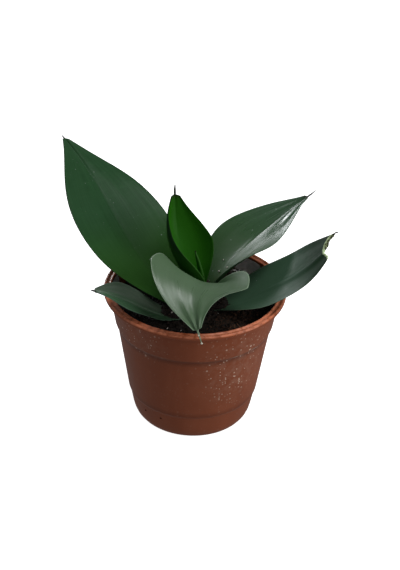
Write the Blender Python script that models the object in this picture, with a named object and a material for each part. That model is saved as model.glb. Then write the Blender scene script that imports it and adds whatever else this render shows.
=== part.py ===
"""A dwarf snake plant in a round nursery pot.

The pot is a turned plastic shell with a rolled lip, a raised band under the lip, a stepped
foot and drain holes. Soil fills it to below the lip. A short rhizome with a few thick roots
is buried in the soil, and seven leaves stand on it in a loose rosette.

Frame: metres, +Z up, the origin at the centre of the pot's underside, -Y to the front.
"""

import math

import bmesh
import bpy
import numpy as np

MM = 0.001

# Gap between two pieces that touch
CLEARANCE = 0.3 * MM

# Pot: radii of the outside, and heights from the underside
POT_HEIGHT = 96.2 * MM
POT_WALL = 1.3 * MM
MOUTH_RADIUS = 54.6 * MM
LIP_WIDTH = 5.4 * MM
LIP_DEPTH = 2.8 * MM
BAND_DEPTH = 23.5 * MM
BAND_TAPER = 3.2 * MM
BAND_STEP = 1.4 * MM
STEP_DROP = 3.0 * MM
FOOT_HEIGHT = 21.5 * MM
BODY_TAPER = 7.2 * MM
FOOT_STEP = 0.9 * MM
FOOT_STEP_DROP = 2.0 * MM
FOOT_TAPER = 3.2 * MM
CORNER_RADIUS = 8.5 * MM
POT_SIDES = 48

# Drain holes: pinholes round the foot, and larger holes through the floor
PINHOLE_PAIRS = 3
PINHOLE_RADIUS = 0.9 * MM
PINHOLE_HEIGHT = 14.4 * MM
PINHOLE_TURN = math.radians(-17.0)
PINHOLE_STEP = math.radians(18.0)
DRAIN_COUNT = 6
DRAIN_RADIUS = 3.5 * MM
DRAIN_INSET = 10.5 * MM
DRAIN_SIDES = 10

# Soil, and its gap to the leaves
SOIL_BELOW_LIP = 12.2 * MM
SOCKET_GAP = 0.5 * MM
SOIL_MOUND = 0.6 * MM
SOIL_SHOULDER = 8.0 * MM

# Rhizome: the buried stem that carries the leaves and the roots
RHIZOME_X = 1.5 * MM
RHIZOME_Y = 4.0 * MM
RHIZOME_RADIUS = 13.0 * MM
RHIZOME_DEPTH = 15.0 * MM
ROOT_COUNT = 5
ROOT_RADIUS = 1.8 * MM
ROOT_TIP_RADIUS = 0.9 * MM
ROOT_REACH = 18.0 * MM
ROOT_DROP = 30.0 * MM

# Leaves, and how far from the crown's middle their feet stand
CROWN_RADIUS = 19.0 * MM
LEAF_BURIED = 4.5 * MM
LEAF_TIP_THICKNESS = 1.0 * MM
MARGIN_SHARE = 0.4
SPINE_RADIUS = 0.5 * MM
SHOULDER_SPREAD = 0.095
SHOULDER_SLOPE = 0.6
LEAF_STATIONS = 20
LEAF_STRIPS = 8
SOCKET_STATIONS = 6

# Each leaf, in millimetres and degrees. foot is where its midrib starts, on the rhizome.
# heading, rise and roll are the midrib's direction and the blade's turn about it, and cup_left
# and cup_right are how far each half curls up, all as control values from foot to tip. A low
# leaf leans close over the lip, so its rise counts from the line from the crown's edge to the
# lip.
# foot_share is the foot's width as a share of the widest, which lies at the share widest of the
# length. taper and point shape the outline from there to the tip, and spine is the hard tip's
# length.
LEAVES = {
    "leaf_left_tall": dict(
        foot=(-7.5, 3.0), length=150.5, half_width=34.5, foot_share=0.3,
        widest=0.45, taper=1.95, point=1.02, spine=4.0, thickness=2.2,
        heading=(157, 127, 118, 137), rise=(31, 39.5, 36.5, 22), roll=(-3, -6, 22),
        fold=(2, 8), cup_left=(46, -4, -7), cup_right=(48, -4, -20),
    ),
    "leaf_centre_young": dict(
        foot=(2.0, 9.5), length=81.0, half_width=23.5, foot_share=0.35, widest=0.47,
        taper=1.5, point=1.4, spine=7.0, thickness=1.6,
        heading=(163, 133, 107, 95), rise=(67, 60, 68, 80), roll=(32, -11, 6),
        fold=(0, 3), cup_left=(126, 125, 67), cup_right=(99, 55, 19),
    ),
    "leaf_centre_spear": dict(
        foot=(4.6, 10.2), length=39.0, half_width=3.8, foot_share=0.7, widest=0.4,
        taper=1.6, point=1.1, spine=2.0, thickness=1.1,
        heading=(190, 190, 195, 200), rise=(86, 85, 82, 76), roll=(0, 0, 0),
        fold=(0, 0), cup_left=(112, 108, 80), cup_right=(112, 108, 80),
    ),
    "leaf_right_back": dict(
        low=True, foot=(10.0, 16.5), length=107.0, half_width=28.0, foot_share=0.24,
        widest=0.41, taper=1.8, point=1.47, spine=8.0, thickness=2.0,
        heading=(51, 41, 40, 13), rise=(37, -15, -6, 11), roll=(-46, 16, -13),
        fold=(2, 6), cup_left=(47, -3, 4), cup_right=(52, -5, 6),
    ),
    "leaf_right_front": dict(
        low=True, foot=(13.0, 1.0), length=105.5, half_width=24.5, foot_share=0.42,
        widest=0.48, taper=2.05, point=0.83, spine=3.0, thickness=2.0,
        heading=(-8, -11.5, -8.5, -7.5), rise=(0, 4, 26, 31), roll=(-2, 8, -1),
        fold=(0, 0), cup_left=(46, 1, 10), cup_right=(42, -10, -17),
    ),
    "leaf_front": dict(
        foot=(7.5, -4.0), length=98.5, half_width=33.0, foot_share=0.16, widest=0.52,
        taper=1.36, point=1.84, spine=9.0, thickness=1.8,
        heading=(-84, -100, -118, -118, -83, -33), rise=(88, 69.5, 34.5, -1, -35.5, -71),
        roll=(42, -58, 36), fold=(2, 4), cup_left=(114, -16, 24), cup_right=(89, -6, 1),
    ),
    "leaf_left_low": dict(
        foot=(-10.5, -12.2), length=69.5, half_width=18.0, foot_share=0.45,
        widest=0.52, taper=1.86, point=1.21, spine=3.0, thickness=2.0,
        heading=(218, 204, 192, 199.5), rise=(20, 42, 43, 14), roll=(9, -5, -1),
        fold=(2, 6), cup_left=(37, 0, 5), cup_right=(36, 4, 9),
    ),
}

# The right front leaf lost its tip: its blade ends on this ragged line, as (share of the half
# width, share of the length), from the right margin to the left.
TORN_LEAF = "leaf_right_front"
TORN_END = (
    (-1.0, 0.858), (-0.8, 0.863), (-0.3, 0.838), (-0.12, 0.828), (-0.05, 0.848),
    (0.85, 0.944), (1.0, 0.975),
)

POT_COLOUR = (0.16, 0.055, 0.035)
SOIL_COLOUR = (0.03, 0.018, 0.012)
RHIZOME_COLOUR = (0.55, 0.38, 0.2)
LEAF_COLOURS = {
    "leaf_left_tall": (0.03, 0.1, 0.05),
    "leaf_centre_young": (0.03, 0.13, 0.01),
    "leaf_centre_spear": (0.04, 0.15, 0.03),
    "leaf_right_back": (0.035, 0.11, 0.055),
    "leaf_right_front": (0.025, 0.07, 0.045),
    "leaf_front": (0.09, 0.17, 0.09),
    "leaf_left_low": (0.03, 0.07, 0.045),
}

SOIL_TOP = POT_HEIGHT - SOIL_BELOW_LIP
FOOT_LEVEL = SOIL_TOP - LEAF_BURIED
LIP_LINE = math.degrees(math.atan2(POT_HEIGHT - FOOT_LEVEL, MOUTH_RADIUS - CROWN_RADIUS))


# ------------------------------------------------------------------ helpers


def clear_scene():
    for obj in list(bpy.data.objects):
        bpy.data.objects.remove(obj, do_unlink=True)


def material(name, colour, roughness):
    mat = bpy.data.materials.new(name)
    mat.use_nodes = True
    shader = mat.node_tree.nodes["Principled BSDF"]
    shader.inputs["Base Color"].default_value = (*colour, 1.0)
    shader.inputs["Roughness"].default_value = roughness
    shader.inputs["Metallic"].default_value = 0.0
    return mat


def mesh_object(name, points, faces, mat=None):
    mesh = bpy.data.meshes.new(name)
    mesh.from_pydata([tuple(point) for point in points], [], faces)
    mesh.validate()
    obj = bpy.data.objects.new(name, mesh)
    bpy.context.scene.collection.objects.link(obj)
    if mat:
        mesh.materials.append(mat)
    mesh.shade_smooth()
    mesh.set_sharp_from_angle(angle=math.radians(35))
    return obj


def cutter(obj):
    """A helper shape that only a Boolean reads."""
    obj.hide_render = True
    obj.display_type = "WIRE"
    return obj


def boolean(obj, other, operation):
    modifier = obj.modifiers.new(f"{operation} {other.name}", "BOOLEAN")
    modifier.operation = operation
    modifier.object = other
    modifier.solver = "EXACT"


def bodies_of(bm):
    """The faces of each body, as they join along edges."""
    left = set(bm.faces)
    found = []
    while left:
        body, front = [], [left.pop()]
        while front:
            face = front.pop()
            body.append(face)
            for edge in face.edges:
                for other in edge.link_faces if len(edge.link_faces) == 2 else ():
                    if other in left:
                        left.remove(other)
                        front.append(other)
        found.append(body)
    return found


def keep_main_body(obj):
    """Apply the modifiers, and drop the crumbs that crossing cuts leave loose."""
    graph = bpy.context.evaluated_depsgraph_get()
    mesh = bpy.data.meshes.new_from_object(obj.evaluated_get(graph))
    obj.modifiers.clear()
    bm = bmesh.new()
    bm.from_mesh(mesh)
    bmesh.ops.dissolve_degenerate(bm, edges=bm.edges, dist=0.005 * MM)
    crumbs = sorted(bodies_of(bm), key=len)[:-1]
    bmesh.ops.delete(bm, geom=[face for crumb in crumbs for face in crumb], context="FACES")
    bm.to_mesh(mesh)
    bm.free()
    obj.data = mesh


def lathe(name, profile, sides, mat=None):
    """Turn a profile of (radius, height) about the Z axis. It starts and ends on the axis, and
    runs up the outside."""
    bm = bmesh.new()
    verts = [bm.verts.new((radius, 0, height)) for radius, height in profile]
    edges = [bm.edges.new(pair) for pair in zip(verts, verts[1:])]
    bmesh.ops.spin(
        bm, geom=verts + edges, cent=(0, 0, 0), axis=(0, 0, 1), angle=2 * math.pi,
        steps=sides, use_merge=True,
    )
    bmesh.ops.remove_doubles(bm, verts=bm.verts, dist=0.01 * MM)
    bmesh.ops.recalc_face_normals(bm, faces=bm.faces)
    mesh = bpy.data.meshes.new(name)
    bm.to_mesh(mesh)
    bm.free()
    obj = bpy.data.objects.new(name, mesh)
    bpy.context.scene.collection.objects.link(obj)
    if mat:
        mesh.materials.append(mat)
    mesh.shade_smooth()
    mesh.set_sharp_from_angle(angle=math.radians(35))
    return obj


def tube(name, path, radii, sides, mat=None):
    """A tapered round tube along a path of points that heads mostly downwards."""
    path = np.asarray(path)
    tangent = np.gradient(path, axis=0)
    tangent /= np.linalg.norm(tangent, axis=1)[:, None]
    side = np.cross(tangent, (0.0, 0.0, 1.0))
    side /= np.linalg.norm(side, axis=1)[:, None]
    other = np.cross(tangent, side)
    turn = np.arange(sides) * 2 * math.pi / sides
    ring = np.cos(turn)[:, None, None] * side + np.sin(turn)[:, None, None] * other
    points = (path + ring * np.asarray(radii)[:, None]).transpose(1, 0, 2).reshape(-1, 3)
    faces = [tuple(range(sides))[::-1]]
    for row in range(len(path) - 1):
        for k in range(sides):
            a, b = row * sides + k, row * sides + (k + 1) % sides
            faces.append((a, b, b + sides, a + sides))
    faces.append(tuple(range(len(points) - sides, len(points))))
    return mesh_object(name, points, faces, mat)


# ------------------------------------------------------------------ leaves


def blend(values, u):
    """Smooth curve through control values (a Bernstein polynomial), u from 0 to 1."""
    last = len(values) - 1
    terms = (math.comb(last, i) * u**i * (1 - u) ** (last - i) * v for i, v in enumerate(values))
    return sum(terms)


def half_width(leaf, u):
    """Half the blade's width, measured round its curl, at the share u of its length."""
    widest = leaf["widest"]
    rising = 1 - (1 - leaf["foot_share"]) * np.clip(1 - u / widest, 0, 1) ** 2
    beyond = np.clip((u - widest) / (1 - widest), 0, 1)
    falling = np.clip(1 - beyond ** leaf["taper"], 0, 1) ** leaf["point"]
    blade = leaf["half_width"] * MM * rising * falling
    from_tip = (1 - u) * leaf["length"] * MM
    beyond_spine = np.clip(from_tip - leaf["spine"] * MM, 0, None)
    opening = SHOULDER_SPREAD * np.sqrt(beyond_spine) + SHOULDER_SLOPE * beyond_spine
    needle = SPINE_RADIUS * np.clip(0.3 + from_tip / (leaf["spine"] * MM), 0, 1)
    return np.maximum(np.minimum(blade, needle + opening), needle * 0.9)


def midrib(leaf, u):
    """(points, left, up): the midrib at the shares u of the length, and the blade's own axes."""
    heading = np.radians(blend(leaf["heading"], u))
    rise = np.radians(blend(leaf["rise"], u) + (LIP_LINE if leaf.get("low") else 0))
    roll = np.radians(blend(leaf["roll"], u))[:, None]
    along = np.stack(
        [np.cos(rise) * np.cos(heading), np.cos(rise) * np.sin(heading), np.sin(rise)], axis=1
    )
    level = np.stack([-np.sin(heading), np.cos(heading), 0 * heading], axis=1)
    above = np.cross(along, level)
    step = np.diff(u)[:, None] * leaf["length"] * MM
    points = np.zeros((len(u), 3))
    points[1:] = np.cumsum((along[1:] + along[:-1]) / 2 * step, axis=0)
    points += (leaf["foot"][0] * MM, leaf["foot"][1] * MM, FOOT_LEVEL)
    left = level * np.cos(roll) + above * np.sin(roll)
    up = above * np.cos(roll) - level * np.sin(roll)
    return points, left, up


def blade_point(leaf, u, v, depth):
    """Points of the blade on a grid of shares u (rows) and v (columns, -1 at the right margin
    and 1 at the left). Each half is an arc in the plane across the midrib. depth is how far
    below the upper face, along the arc's own normal, the points lie."""
    fine = np.linspace(0, 1, 241)
    centre, left, up = midrib(leaf, fine)

    def at(values):
        return np.stack([np.interp(u, fine, values[:, k]) for k in range(3)], axis=-1)

    centre, left, up = at(centre), at(left), at(up)
    width = half_width(leaf, u)
    fold = np.radians(blend(leaf["fold"], u))
    cup = np.where(v >= 0, blend(leaf["cup_left"], u), blend(leaf["cup_right"], u))
    cup = np.radians(np.where(np.abs(cup) < 0.05, 0.05, cup))
    angle = fold + cup * np.abs(v)
    across = width * (np.sin(angle) - np.sin(fold)) / cup - depth * -np.sin(angle)
    lift = width * (np.cos(fold) - np.cos(angle)) / cup - depth * np.cos(angle)
    side = np.sign(v) * across
    return centre + left * side[..., None] + up * lift[..., None]


def leaf_solid(name, leaf, mat=None, grow=0.0, stations=LEAF_STATIONS):
    """Closed solid of one leaf. grow fattens it all round, and fewer stations cut it short."""
    strips = np.linspace(-1, 1, LEAF_STRIPS + 1)
    end = np.ones_like(strips)
    if leaf is LEAVES[TORN_LEAF]:
        end = np.interp(strips, *zip(*TORN_END))
    u, v = np.broadcast_arrays(
        np.arange(stations + 1)[:, None] / LEAF_STATIONS * end[None, :], strips[None, :]
    )
    thickness = leaf["thickness"] * MM * (1 - u) + LEAF_TIP_THICKNESS * u
    thickness = np.minimum(thickness * (1 - (1 - MARGIN_SHARE) * v**2), 2 * half_width(leaf, u))
    spread = 1 + grow / half_width(leaf, u)
    upper = blade_point(leaf, u, v * spread, -grow)
    lower = blade_point(leaf, u, v * spread, thickness + grow)
    if grow:
        back = (upper[0] - upper[1] + lower[0] - lower[1]).mean(axis=0)
        back *= grow / np.linalg.norm(back)
        upper[0] += back
        lower[0] += back
    rows, columns = u.shape
    count = rows * columns
    points = np.concatenate([upper.reshape(-1, 3), lower.reshape(-1, 3)])

    def quads(path):
        """Side faces along a path of grid indices, from the lower face to the upper."""
        return [(a, b, b + count, a + count) for a, b in zip(path, path[1:])]

    grid = np.arange(count).reshape(rows, columns)
    faces = []
    for i in range(rows - 1):
        for j in range(columns - 1):
            a, b, c, d = grid[i, j], grid[i + 1, j], grid[i + 1, j + 1], grid[i, j + 1]
            faces.append((a, b, c, d))
            faces.append((d + count, c + count, b + count, a + count))
    around = np.concatenate([grid[0, :], grid[1:, -1], grid[-1, -2::-1], grid[-2::-1, 0]])
    faces += quads([int(k) for k in around])
    return mesh_object(name, points, [tuple(int(k) for k in face) for face in faces], mat)


def build_leaves():
    leaves = {}
    for name, leaf in LEAVES.items():
        leaves[name] = leaf_solid(name, leaf, material(name, LEAF_COLOURS[name], 0.35))
    return leaves


def build_sockets():
    """Cutters for the leaf feet, a gap larger all round."""
    return [
        cutter(leaf_solid(f"{name}_socket", leaf, grow=SOCKET_GAP, stations=SOCKET_STATIONS))
        for name, leaf in LEAVES.items()
    ]


# ------------------------------------------------------------------ rhizome and roots


def rhizome_body(name, top, grow, mat=None):
    """The stem: a blunt dome, deeper than wide at the top. grow fattens it all round."""
    radius = RHIZOME_RADIUS + grow
    low = top - RHIZOME_DEPTH - grow
    high = top + grow
    profile = [
        (0, low),
        (radius * 0.55, low),
        (radius * 0.85, low + RHIZOME_DEPTH * 0.3),
        (radius, low + RHIZOME_DEPTH * 0.7),
        (radius * 0.92, high - RHIZOME_DEPTH * 0.08),
        (radius * 0.8, high),
        (0, high),
    ]
    body = lathe(name, profile, 16, mat)
    body.location = (RHIZOME_X, RHIZOME_Y, 0)
    return body


def root(name, turn, top, grow, mat=None):
    """One root, from inside the stem out and down."""
    share = np.linspace(0, 1, 6)
    reach = RHIZOME_RADIUS * 0.5 + (ROOT_REACH + RHIZOME_RADIUS * 0.5) * np.sin(share * math.pi / 2)
    drop = RHIZOME_DEPTH * 0.5 + ROOT_DROP * share**1.6
    path = np.stack(
        [
            RHIZOME_X + reach * math.cos(turn),
            RHIZOME_Y + reach * math.sin(turn),
            top - drop,
        ],
        axis=1,
    )
    path[-1] += (path[-1] - path[-2]) / np.linalg.norm(path[-1] - path[-2]) * grow
    radii = ROOT_RADIUS + (ROOT_TIP_RADIUS - ROOT_RADIUS) * share + grow
    return tube(name, path, radii, 7, mat)


def build_rhizome(leaves):
    """(rhizome, sockets). Its top lies a clearance under the lowest leaf foot."""
    lowest = min(vert.co.z for obj in leaves.values() for vert in obj.data.vertices)
    top = lowest - CLEARANCE
    mat = material("rhizome", RHIZOME_COLOUR, 0.7)
    rhizome = rhizome_body("rhizome", top, 0.0, mat)
    sockets = [cutter(rhizome_body("rhizome_socket", top, CLEARANCE))]
    for k in range(ROOT_COUNT):
        turn = 2 * math.pi * (k + 0.25) / ROOT_COUNT
        boolean(rhizome, cutter(root(f"root_{k}", turn, top, 0.0)), "UNION")
        sockets.append(cutter(root(f"root_socket_{k}", turn, top, CLEARANCE)))
    return rhizome, sockets


# ------------------------------------------------------------------ pot


def arc(centre, radius, start, end, steps):
    """Points on a round stretch of a profile, angles in degrees."""
    angles = np.radians(np.linspace(start, end, steps + 1))
    return [(centre[0] + radius * math.cos(a), centre[1] + radius * math.sin(a)) for a in angles]


def wall_profile():
    """The outside of the wall as (radius, height), from the corner up to under the lip."""
    band_top = MOUTH_RADIUS + POT_WALL
    band_low = band_top - BAND_TAPER
    body_top = band_low - BAND_STEP
    body_low = body_top - BODY_TAPER
    foot_top = body_low - FOOT_STEP
    foot_low = foot_top - FOOT_TAPER
    shoulder = POT_HEIGHT - BAND_DEPTH
    corner = arc((foot_low - CORNER_RADIUS, CORNER_RADIUS), CORNER_RADIUS, -90, -8, 4)
    return corner + [
        (foot_top, FOOT_HEIGHT - FOOT_STEP_DROP),
        (body_low - FOOT_STEP * 0.2, FOOT_HEIGHT - FOOT_STEP_DROP * 0.2),
        (body_low, FOOT_HEIGHT),
        (body_top, shoulder - STEP_DROP),
        (band_low - BAND_STEP * 0.15, shoulder - STEP_DROP * 0.3),
        (band_low, shoulder + STEP_DROP * 0.2),
        (band_top, POT_HEIGHT - LIP_DEPTH),
    ]


def lip_profile():
    """The lip from its underside over two ridges to the mouth."""
    outer = MOUTH_RADIUS + LIP_WIDTH
    ridge = 0.6 * MM
    return [
        (outer - 0.5 * MM, POT_HEIGHT - LIP_DEPTH),
        (outer, POT_HEIGHT - LIP_DEPTH * 0.75),
        (outer - 0.1 * MM, POT_HEIGHT - ridge),
        (outer - 0.9 * MM, POT_HEIGHT),
        (outer - LIP_WIDTH * 0.45, POT_HEIGHT - ridge),
        (MOUTH_RADIUS + 0.8 * MM, POT_HEIGHT - ridge * 0.4),
        (MOUTH_RADIUS, POT_HEIGHT - ridge * 2),
    ]


def inside_profile(gap):
    """The inside of the wall from the top down to the floor's middle, moved in by gap."""
    inside = [(radius - POT_WALL - gap, height) for radius, height in wall_profile()[2:]]
    inside[0] = (inside[0][0], POT_WALL + gap)
    return [*reversed(inside), (0, POT_WALL + gap)]


def radial_pin(name, radius, turn, distance, height, length, sides):
    """A round cutter lying on a ray from the axis."""
    bpy.ops.mesh.primitive_cylinder_add(
        vertices=sides, radius=radius, depth=length,
        location=(distance * math.cos(turn), distance * math.sin(turn), height),
        rotation=(0, math.pi / 2, turn),
    )
    obj = bpy.context.object
    obj.name = name
    return cutter(obj)


def build_pot():
    profile = [(0, 0), *wall_profile(), *lip_profile(), *inside_profile(0.0)]
    pot = lathe("pot", profile, POT_SIDES, material("pot", POT_COLOUR, 0.4))
    foot = wall_profile()[4][0]
    for k in range(2 * PINHOLE_PAIRS):
        turn = 2 * math.pi * (k // 2) / PINHOLE_PAIRS + PINHOLE_TURN + k % 2 * PINHOLE_STEP
        pin = radial_pin(
            f"pinhole_{k}", PINHOLE_RADIUS, turn, foot, PINHOLE_HEIGHT, 4 * POT_WALL, 6
        )
        boolean(pot, pin, "DIFFERENCE")
    ring = wall_profile()[0][0] - DRAIN_INSET
    for k in range(DRAIN_COUNT):
        turn = 2 * math.pi * k / DRAIN_COUNT
        bpy.ops.mesh.primitive_cylinder_add(
            vertices=DRAIN_SIDES, radius=DRAIN_RADIUS, depth=4 * POT_WALL,
            location=(ring * math.cos(turn), ring * math.sin(turn), 0),
        )
        drain = bpy.context.object
        drain.name = f"drain_{k}"
        boolean(pot, cutter(drain), "DIFFERENCE")
    return pot


# ------------------------------------------------------------------ soil


def build_soil(sockets):
    """Soil up to below the lip, a little higher round the crown, with the buried pieces cut out."""
    inside = inside_profile(CLEARANCE)[::-1]
    radii, heights = zip(*inside)
    edge = float(np.interp(SOIL_TOP, heights[1:], radii[1:]))
    low = [point for point in inside if point[1] < SOIL_TOP - 1 * MM]
    top = [(edge, SOIL_TOP), (edge - SOIL_SHOULDER, SOIL_TOP + SOIL_MOUND), (0, SOIL_TOP + SOIL_MOUND)]
    soil = lathe("soil", [*low, *top], POT_SIDES, material("soil", SOIL_COLOUR, 0.95))
    for socket in sockets:
        boolean(soil, socket, "DIFFERENCE")
    keep_main_body(soil)
    return soil


def main():
    clear_scene()
    leaves = build_leaves()
    _, sockets = build_rhizome(leaves)
    build_pot()
    build_soil(build_sockets() + sockets)


main()
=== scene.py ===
"""A dwarf snake plant in a round nursery pot: the fine surfaces and finishes.

Each piece is a surface worked out with numpy from named sizes. Leaves share one formula, and
the pot and the soil are turned about the Z axis.
"""

import math

import bpy
import numpy as np
from bpy.props import (
    FloatProperty,
    FloatVectorProperty,
    IntProperty,
    PointerProperty,
)
from mathutils import Matrix, Vector


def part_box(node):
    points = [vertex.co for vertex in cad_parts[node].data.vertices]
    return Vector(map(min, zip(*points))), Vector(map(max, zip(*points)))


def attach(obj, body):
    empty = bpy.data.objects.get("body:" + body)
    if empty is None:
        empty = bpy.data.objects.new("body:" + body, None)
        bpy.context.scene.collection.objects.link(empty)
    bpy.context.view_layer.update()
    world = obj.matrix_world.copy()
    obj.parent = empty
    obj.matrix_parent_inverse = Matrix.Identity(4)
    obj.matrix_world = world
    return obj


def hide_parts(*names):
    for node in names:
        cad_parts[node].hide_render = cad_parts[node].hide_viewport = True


bl_info = {
    "name": "Potted Snake Plant",
    "version": (1, 0, 0),
    "blender": (4, 5, 0),
    "location": "3D View > Sidebar > Plant",
    "description": "Builds a dwarf snake plant in a nursery pot",
    "category": "Add Mesh",
}

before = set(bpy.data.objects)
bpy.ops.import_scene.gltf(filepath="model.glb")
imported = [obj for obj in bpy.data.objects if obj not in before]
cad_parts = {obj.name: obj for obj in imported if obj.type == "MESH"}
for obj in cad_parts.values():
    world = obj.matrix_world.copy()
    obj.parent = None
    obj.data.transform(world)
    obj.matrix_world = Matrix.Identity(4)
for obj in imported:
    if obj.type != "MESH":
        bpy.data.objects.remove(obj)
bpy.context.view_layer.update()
POT_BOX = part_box("pot")
SOIL_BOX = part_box("soil")

MM = 0.001

# How deep the leaves' feet stand under the soil's level at the wall
FOOT_DEPTH = 4.5 * MM
MOUND = 0.6 * MM

# Each leaf, in millimetres and degrees. foot is where its midrib starts, and level is the
# height of that start. heading, rise and roll are the midrib's direction and the blade's turn
# about it, and cup_left and cup_right are how far each half curls up, as control values from
# foot to tip. foot_share is the foot's width as a share of the widest, which lies at the share
# widest of the length. taper and point shape the outline from there to the tip, and spine is
# the hard tip's length. low leaves count their rise from the line over the pot's lip.
LEAVES = {
    "leaf_left_tall": dict(
        foot=(-7.5, 3.0), length=150.5, half_width=34.5, foot_share=0.3, widest=0.45,
        taper=1.95, point=1.02, spine=4.0, thickness=2.2,
        heading=(157, 127, 118, 137), rise=(31, 39.5, 36.5, 22), roll=(-3, -6, 22),
        fold=(2, 8), cup_left=(46, -4, -7), cup_right=(48, -4, -20),
    ),
    "leaf_centre_young": dict(
        foot=(2.0, 9.5), length=81.0, half_width=23.5, foot_share=0.35, widest=0.47,
        taper=1.5, point=1.4, spine=7.0, thickness=1.6,
        heading=(163, 133, 107, 95), rise=(67, 60, 68, 80), roll=(32, -11, 6),
        fold=(0, 3), cup_left=(126, 125, 67), cup_right=(99, 55, 19),
    ),
    "leaf_centre_spear": dict(
        foot=(4.6, 10.2), length=39.0, half_width=3.8, foot_share=0.7, widest=0.4,
        taper=1.6, point=1.1, spine=2.0, thickness=1.1,
        heading=(190, 190, 195, 200), rise=(86, 85, 82, 76), roll=(0, 0, 0),
        fold=(0, 0), cup_left=(112, 108, 80), cup_right=(112, 108, 80),
    ),
    "leaf_right_back": dict(
        low=True, foot=(10.0, 16.5), length=107.0, half_width=28.0, foot_share=0.24,
        widest=0.41, taper=1.8, point=1.47, spine=8.0, thickness=2.0,
        heading=(51, 41, 40, 13), rise=(37, -15, -6, 11), roll=(-46, 16, -13),
        fold=(2, 6), cup_left=(47, -3, 4), cup_right=(52, -5, 6),
    ),
    "leaf_right_front": dict(
        low=True, foot=(13.0, 1.0), length=105.5, half_width=24.5, foot_share=0.42,
        widest=0.48, taper=2.05, point=0.83, spine=3.0, thickness=2.0,
        heading=(-8, -11.5, -8.5, -7.5), rise=(0, 4, 26, 31), roll=(-2, 8, -1),
        fold=(0, 0), cup_left=(46, 1, 10), cup_right=(42, -10, -17),
    ),
    "leaf_front": dict(
        foot=(7.5, -4.0), length=98.5, half_width=33.0, foot_share=0.16, widest=0.52,
        taper=1.36, point=1.84, spine=9.0, thickness=1.8,
        heading=(-84, -100, -118, -118, -83, -33), rise=(88, 69.5, 34.5, -1, -35.5, -71),
        roll=(42, -58, 36), fold=(2, 4), cup_left=(114, -16, 24), cup_right=(89, -6, 1),
    ),
    "leaf_left_low": dict(
        foot=(-10.5, -12.2), length=69.5, half_width=18.0, foot_share=0.45, widest=0.52,
        taper=1.86, point=1.21, spine=3.0, thickness=2.0,
        heading=(218, 204, 192, 199.5), rise=(20, 42, 43, 14), roll=(9, -5, -1),
        fold=(2, 6), cup_left=(37, 0, 5), cup_right=(36, 4, 9),
    ),
}
CROWN_RADIUS = 19.0 * MM
TIP_THICKNESS = 1.0 * MM
MARGIN_SHARE = 0.4
SPINE_RADIUS = 0.5 * MM
SHOULDER_SPREAD = 0.095
SHOULDER_SLOPE = 0.6

# The torn leaf's ragged end as (share of the half width, share of the length): where
# the green stops, and where the dried flap beyond it stops.
TORN_LEAF = "leaf_right_front"
GREEN_END = (
    (-1.0, 0.858), (-0.8, 0.863), (-0.3, 0.838), (0.10, 0.826), (0.48, 0.845),
    (0.77, 0.871), (1.0, 0.906),
)
FLAP_END = (
    (-1.0, 0.858), (-0.8, 0.863), (-0.3, 0.838), (-0.12, 0.828), (-0.05, 0.848),
    (0.85, 0.944), (1.0, 0.975),
)


# ------------------------------------------------------------------ settings


def number_setting(name, description, default, low, high, **more):
    """Setting for a number between low and high."""
    return FloatProperty(
        name=name, description=description, default=default, min=low, max=high, **more
    )


def length_setting(name, description, default, low, high):
    """Setting for a length in metres."""
    return number_setting(name, description, default, low, high, precision=4, unit="LENGTH")


def count_setting(name, description, default, low, high):
    """Setting for a whole number between low and high."""
    return IntProperty(name=name, description=description, default=default, min=low, max=high)


def colour_setting(name, description, default):
    """Setting for a colour."""
    return FloatVectorProperty(
        name=name, description=description, default=default, size=3, min=0, max=1,
        subtype="COLOR",
    )


class PotSettings(bpy.types.PropertyGroup):
    """Sizes and colours of the nursery pot"""

    height: length_setting(
        "Height", "From the underside to the top of the lip", POT_BOX[1].z, 0.03, 0.4
    )
    lip_radius: length_setting(
        "Lip radius", "Outside radius of the rolled lip", POT_BOX[1].x, 0.02, 0.3
    )
    lip_width: length_setting(
        "Lip width", "How far the lip reaches out from the mouth", 5.4 * MM, 0.001, 0.02
    )
    wall: length_setting("Wall", "Thickness of the plastic", 1.3 * MM, 0.0005, 0.005)
    sides: count_setting("Sides", "Steps round the pot", 288, 48, 512)
    colour: colour_setting("Colour", "Colour of the plastic", (0.320, 0.078, 0.028))
    worn_colour: colour_setting(
        "Scuffed colour", "Colour of rubbed and faded plastic", (0.45, 0.145, 0.075)
    )
    dust_colour: colour_setting(
        "Dust colour", "Colour of the dried water spots", (0.78, 0.54, 0.42)
    )


class SoilSettings(bpy.types.PropertyGroup):
    """Sizes and colours of the potting soil"""

    roughness: length_setting("Unevenness", "Height of the soil's lumps", 0.8 * MM, 0, 0.01)
    crumbs: count_setting("Crumbs", "Loose crumbs on the soil", 2600, 0, 6000)
    grains: count_setting("Pale grains", "White mineral grains on the soil", 26, 0, 400)
    colour: colour_setting("Colour", "Colour of the damp soil", (0.010, 0.007, 0.005))
    dry_colour: colour_setting(
        "Dry colour", "Colour of the dry crumbs and bark", (0.17, 0.082, 0.045)
    )
    crust_colour: colour_setting(
        "Crust colour", "Colour of the mineral crust at the wall", (0.93, 0.88, 0.87)
    )


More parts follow.
